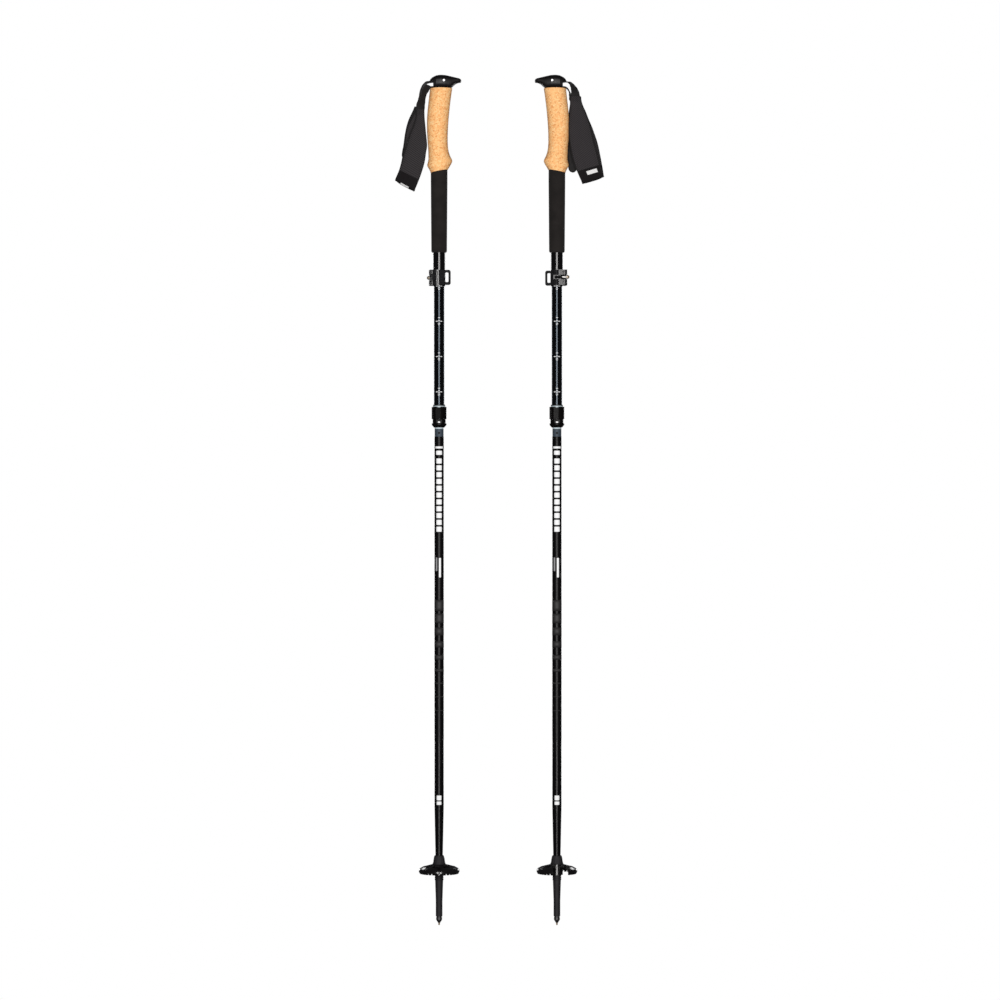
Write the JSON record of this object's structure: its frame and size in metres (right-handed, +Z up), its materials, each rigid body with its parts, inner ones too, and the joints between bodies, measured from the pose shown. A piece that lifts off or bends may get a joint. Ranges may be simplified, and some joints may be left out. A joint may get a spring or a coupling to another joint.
{
  "type": "trekking poles",
  "caption": "Pair of folding, length-adjustable trekking poles with cork grips, padded wrist straps, lever clamps, slide locks and notched baskets.",
  "frame": {"origin": "on the ground, midway between the two poles' tips", "axes": "+Z up along the poles, +X from the left pole to the right pole, +Y away from the viewer"},
  "size_m": [0.294, 0.0572, 1.198],
  "materials": {
    "plastic": "moulded nylon, satin",
    "cap": "moulded cap, smooth",
    "pin": "turned steel",
    "webbing": "woven nylon webbing",
    "band": "padded twill with a plain hem",
    "cork": "ground cork, matt",
    "foam": "closed-cell foam, matt",
    "shaft": "carbon tube with a gloss lacquer",
    "low_shaft": "carbon tube with a satin lacquer",
    "clamp": "anodised alloy, gloss black",
    "nut": "plated nut",
    "lock": "moulded nylon, satin",
    "button": "polished steel",
    "ring": "pale moulded ring",
    "ferrule": "blue-grey anodised alloy, satin",
    "plug": "turned alloy",
    "cord": "braided elastic cord",
    "basket": "moulded nylon, satin",
    "tip": "flexible moulded nylon, matt",
    "carbide": "tungsten carbide in a brown plated holder"
  },
  "bodies": {
    "left_grip": {"left_grip_head": "plastic", "left_head_cap": "cap", "left_strap_pin": "pin", "left_strap_wedge": "plastic", "left_strap_tongue": "webbing", "left_cork_grip": "cork", "left_foam_grip": "foam", "left_upper_shaft": "shaft", "left_clamp_collar": "clamp", "left_clamp_pin": "pin", "left_clamp_screw": "pin", "left_clamp_nut": "nut"},
    "left_strap": {"left_strap_webbing": "webbing", "left_strap_band": "band"},
    "left_lever": {"left_clamp_lever": "clamp"},
    "left_tube": {"left_adjust_tube": "shaft", "left_adjust_bush": "plastic", "left_lock_body": "lock", "left_seat_ring": "ring", "left_tension_cord": "cord"},
    "left_sleeve": {"left_lock_sleeve": "lock", "left_lock_ring": "ring"},
    "left_button": {"left_lock_button": "button"},
    "left_mid": {"left_mid_ferrule": "ferrule", "left_mid_shaft": "shaft"},
    "left_low": {"left_low_plug": "plug", "left_low_shaft": "low_shaft", "left_tip_body": "tip", "left_carbide_tip": "carbide"},
    "left_basket": {"left_basket": "basket"},
    "right_grip": {"right_grip_head": "plastic", "right_head_cap": "cap", "right_strap_pin": "pin", "right_strap_wedge": "plastic", "right_strap_tongue": "webbing", "right_cork_grip": "cork", "right_foam_grip": "foam", "right_upper_shaft": "shaft", "right_clamp_collar": "clamp", "right_clamp_pin": "pin", "right_clamp_screw": "pin", "right_clamp_nut": "nut"},
    "right_strap": {"right_strap_webbing": "webbing", "right_strap_band": "band"},
    "right_lever": {"right_clamp_lever": "clamp"},
    "right_tube": {"right_adjust_tube": "shaft", "right_adjust_bush": "plastic", "right_lock_body": "lock", "right_seat_ring": "ring", "right_tension_cord": "cord"},
    "right_sleeve": {"right_lock_sleeve": "lock", "right_lock_ring": "ring"},
    "right_button": {"right_lock_button": "button"},
    "right_mid": {"right_mid_ferrule": "ferrule", "right_mid_shaft": "shaft"},
    "right_low": {"right_low_plug": "plug", "right_low_shaft": "low_shaft", "right_tip_body": "tip", "right_carbide_tip": "carbide"},
    "right_basket": {"right_basket": "basket"}
  },
  "joints": [
    {"name": "right_pole_lift", "type": "slide", "parent": "left_grip", "child": "right_grip", "axis": [0, 0, 1], "range_m": [0, 0.25]},
    {"name": "left_strap_swing", "type": "hinge", "parent": "left_grip", "child": "left_strap", "pos_m": [-0.0984, 0, 1.1843], "axis": [0, 1, 0], "range_deg": [0, 90], "deforming": ["left_strap_webbing"]},
    {"name": "left_lever_open", "type": "hinge", "parent": "left_grip", "child": "left_lever", "pos_m": [-0.0928, -0.0076, 0.9125], "axis": [0, 0, -1], "range_deg": [0, 110]},
    {"name": "left_length_slide", "type": "slide", "parent": "left_grip", "child": "left_tube", "axis": [0, 0, 1], "range_m": [-0.05, 0.15]},
    {"name": "left_sleeve_slide", "type": "slide", "parent": "left_tube", "child": "left_sleeve", "axis": [0, 0, 1], "range_m": [0, 0.012]},
    {"name": "left_button_press", "type": "slide", "parent": "left_tube", "child": "left_button", "axis": [0, 1, 0], "range_m": [0, 0.0009], "stiffness_N_per_m": 400, "springref_m": -0.0005},
    {"name": "left_fold_upper", "type": "hinge", "parent": "left_tube", "child": "left_mid", "pos_m": [-0.0805, -0.01174, 0.699], "axis": [-0.9781, -0.2079, 0], "range_deg": [0, 180], "deforming": ["left_tension_cord"]},
    {"name": "left_fold_lower", "type": "hinge", "parent": "left_mid", "child": "left_low", "pos_m": [-0.0855, 0.01174, 0.261], "axis": [0.9781, 0.2079, 0], "range_deg": [0, 180], "deforming": ["left_tension_cord"]},
    {"name": "left_basket_turn", "type": "hinge", "parent": "left_low", "child": "left_basket", "pos_m": [-0.083, 0, 0.079], "axis": [0, 0, 1], "range_deg": [-90, 0]},
    {"name": "right_strap_swing", "type": "hinge", "parent": "right_grip", "child": "right_strap", "pos_m": [0.0984, 0, 1.1843], "axis": [0, -1, 0], "range_deg": [0, 90], "deforming": ["right_strap_webbing"]},
    {"name": "right_lever_open", "type": "hinge", "parent": "right_grip", "child": "right_lever", "pos_m": [0.0928, 0.0076, 0.9125], "axis": [0, 0, -1], "range_deg": [0, 110]},
    {"name": "right_length_slide", "type": "slide", "parent": "right_grip", "child": "right_tube", "axis": [0, 0, 1], "range_m": [-0.05, 0.15]},
    {"name": "right_sleeve_slide", "type": "slide", "parent": "right_tube", "child": "right_sleeve", "axis": [0, 0, 1], "range_m": [0, 0.012]},
    {"name": "right_button_press", "type": "slide", "parent": "right_tube", "child": "right_button", "axis": [0, 1, 0], "range_m": [0, 0.0009], "stiffness_N_per_m": 400, "springref_m": -0.0005},
    {"name": "right_fold_upper", "type": "hinge", "parent": "right_tube", "child": "right_mid", "pos_m": [0.0805, 0.01174, 0.699], "axis": [0.9781, 0.2079, 0], "range_deg": [0, 180], "deforming": ["right_tension_cord"]},
    {"name": "right_fold_lower", "type": "hinge", "parent": "right_mid", "child": "right_low", "pos_m": [0.0855, -0.01174, 0.261], "axis": [-0.9781, -0.2079, 0], "range_deg": [0, 180], "deforming": ["right_tension_cord"]},
    {"name": "right_basket_turn", "type": "hinge", "parent": "right_low", "child": "right_basket", "pos_m": [0.083, 0, 0.079], "axis": [0, 0, 1], "range_deg": [-90, 0]}
  ]
}
